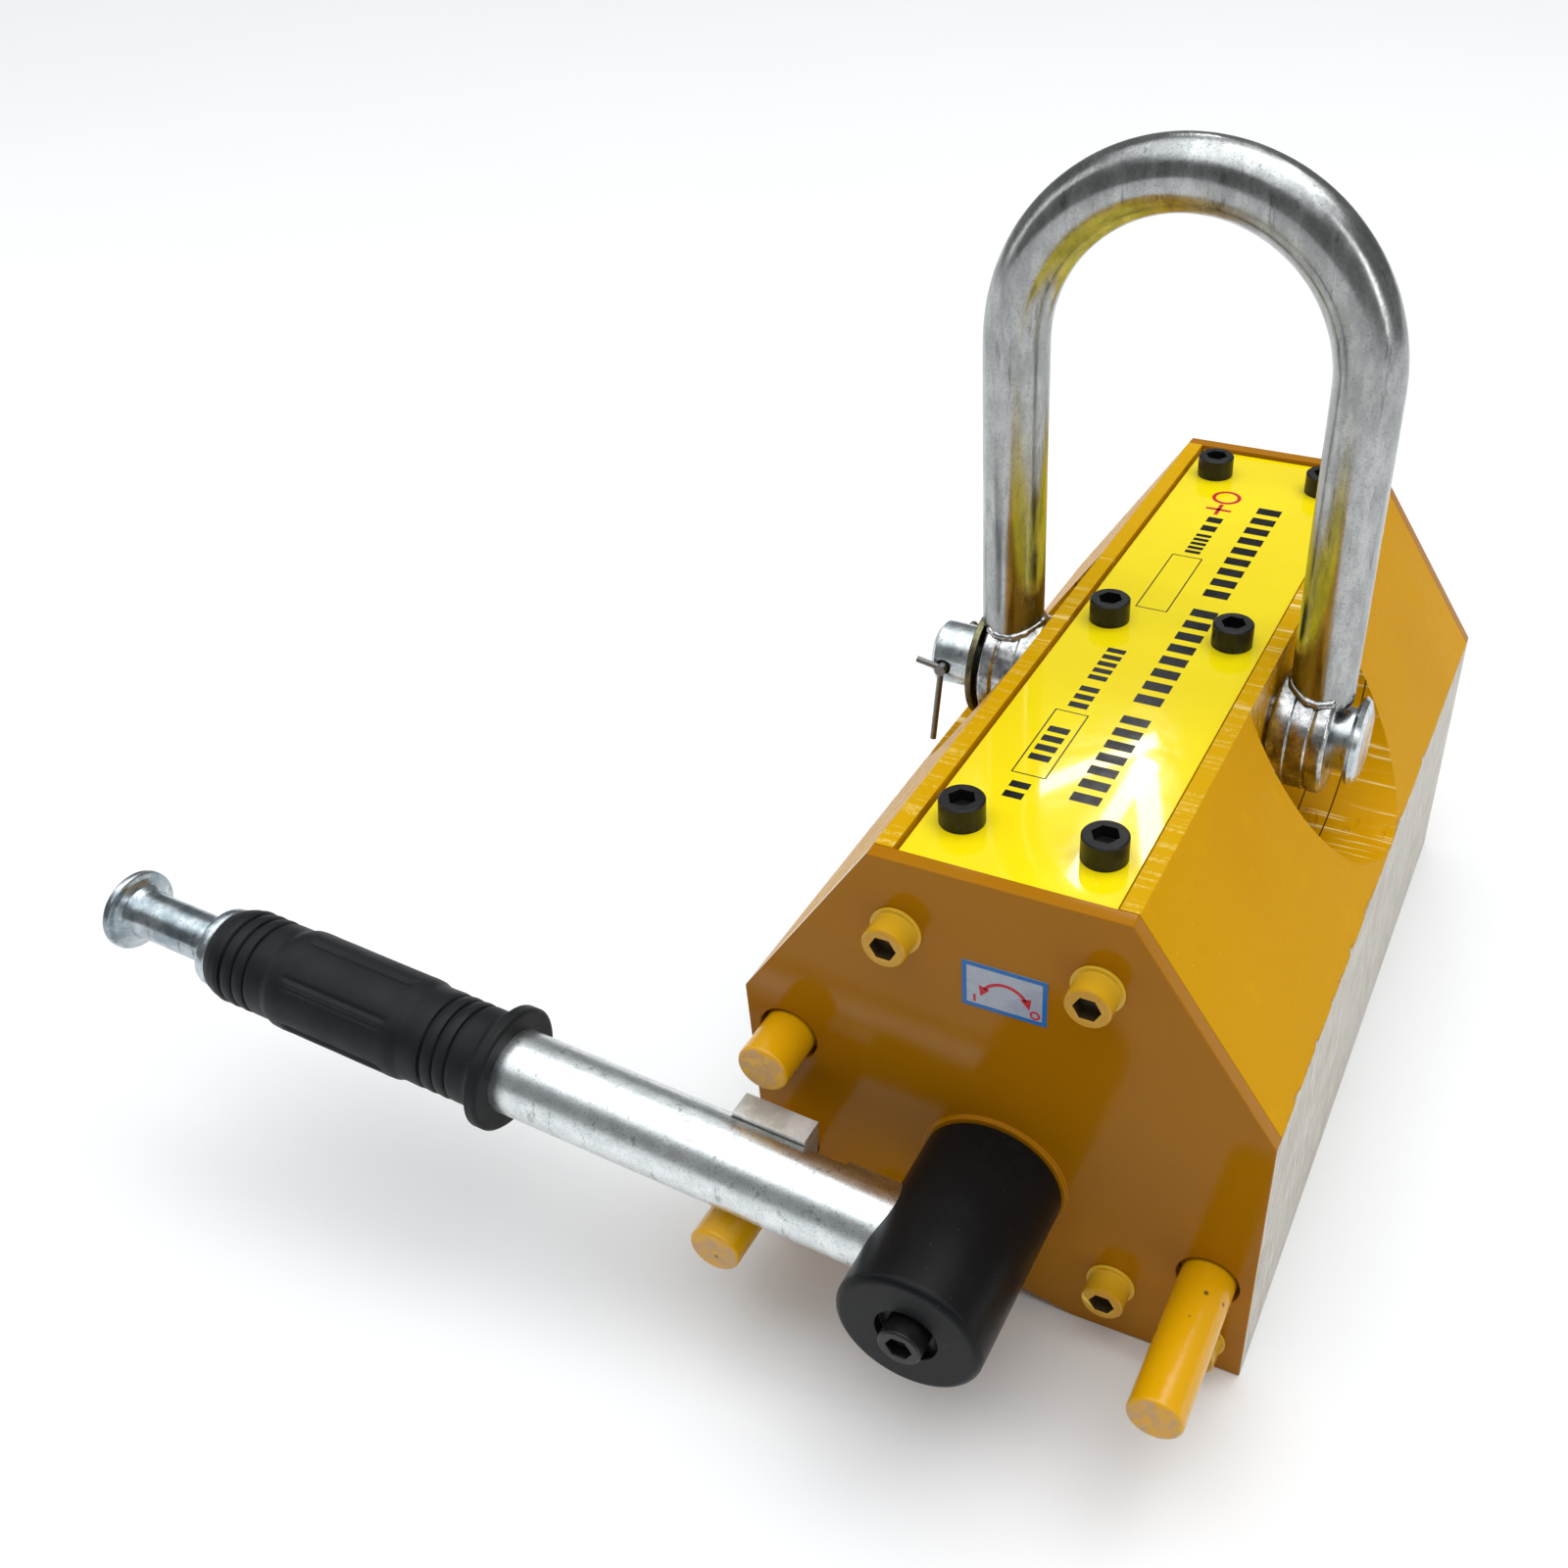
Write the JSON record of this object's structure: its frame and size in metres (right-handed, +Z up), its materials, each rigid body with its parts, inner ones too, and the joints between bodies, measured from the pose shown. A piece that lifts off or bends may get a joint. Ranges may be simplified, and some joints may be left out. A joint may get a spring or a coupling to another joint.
{
  "type": "permanent magnetic lifter",
  "caption": "Hand-lever lifting magnet: steel poles around a turning magnet rotor, a lever with a push-to-release latch, and a swinging bow for a crane hook.",
  "frame": {"origin": "middle of the pole face plane, straight under the lifting bow's pin", "axes": "+X across the poles, away from the resting lever; +Y along the body, away from the lever; +Z up"},
  "size_m": [0.3799, 0.3581, 0.3112],
  "materials": {
    "body_paint": "semi-gloss golden yellow paint, worn at the edges",
    "cover_paint": "gloss lemon yellow enamel",
    "black_oxide": "black oxide, slightly oily",
    "black_paint": "satin black coating",
    "grip_rubber": "moulded, matt",
    "zinc": "bright zinc plate, mottled",
    "bare_steel": "machined",
    "magnet_nickel": "nickel plate",
    "aluminium_block": "milled",
    "bronze": "turned bronze",
    "label": "printed film"
  },
  "bodies": {
    "body": {"left_pole": "body_paint", "right_pole": "body_paint", "bottom_spacer": "bronze", "stator_magnets": "magnet_nickel", "stator_block": "aluminium_block", "front_end_plate": "body_paint", "rear_end_plate": "body_paint", "front_bush": "bronze", "rear_bush": "bronze", "front_plate_screws": "body_paint", "front_screw_washers": "body_paint", "rear_plate_screws": "body_paint", "rear_screw_washers": "body_paint", "cover_plate": "cover_paint", "cover_screws": "black_oxide", "long_stop_pins": "body_paint", "lock_pin": "body_paint", "direction_label": "label"},
    "rotor": {"rotor_poles": "bare_steel", "rotor_magnets": "magnet_nickel", "front_shaft": "bare_steel", "rear_shaft": "bare_steel", "rotor_cap_screws": "black_oxide", "hub_key": "bare_steel", "hub": "black_paint", "hub_bolt": "black_oxide", "handle_tube": "zinc", "tube_collar": "zinc", "grip": "grip_rubber", "spring_seat": "bare_steel", "latch_spring": "bare_steel"},
    "latch": {"push_rod": "zinc", "latch_block": "zinc"},
    "bow": {"bow_bar": "zinc", "bow_eyes": "zinc", "clevis_pin": "zinc", "clevis_washer": "zinc", "split_pin": "bare_steel"}
  },
  "joints": [
    {"name": "handle_turn", "type": "hinge", "parent": "body", "child": "rotor", "pos_m": [0, 0, 0.0545], "axis": [0, 1, 0], "range_deg": [0, 169.09]},
    {"name": "latch_slide", "type": "slide", "parent": "rotor", "child": "latch", "axis": [0.9957, 0, -0.0931], "range_m": [0, 0.013], "stiffness_N_per_m": 800, "springref_m": -0.015, "deforming": ["latch_spring"]},
    {"name": "bow_swing", "type": "hinge", "parent": "body", "child": "bow", "pos_m": [0, 0, 0.137], "axis": [1, 0, 0], "range_deg": [-52, 52]}
  ]
}
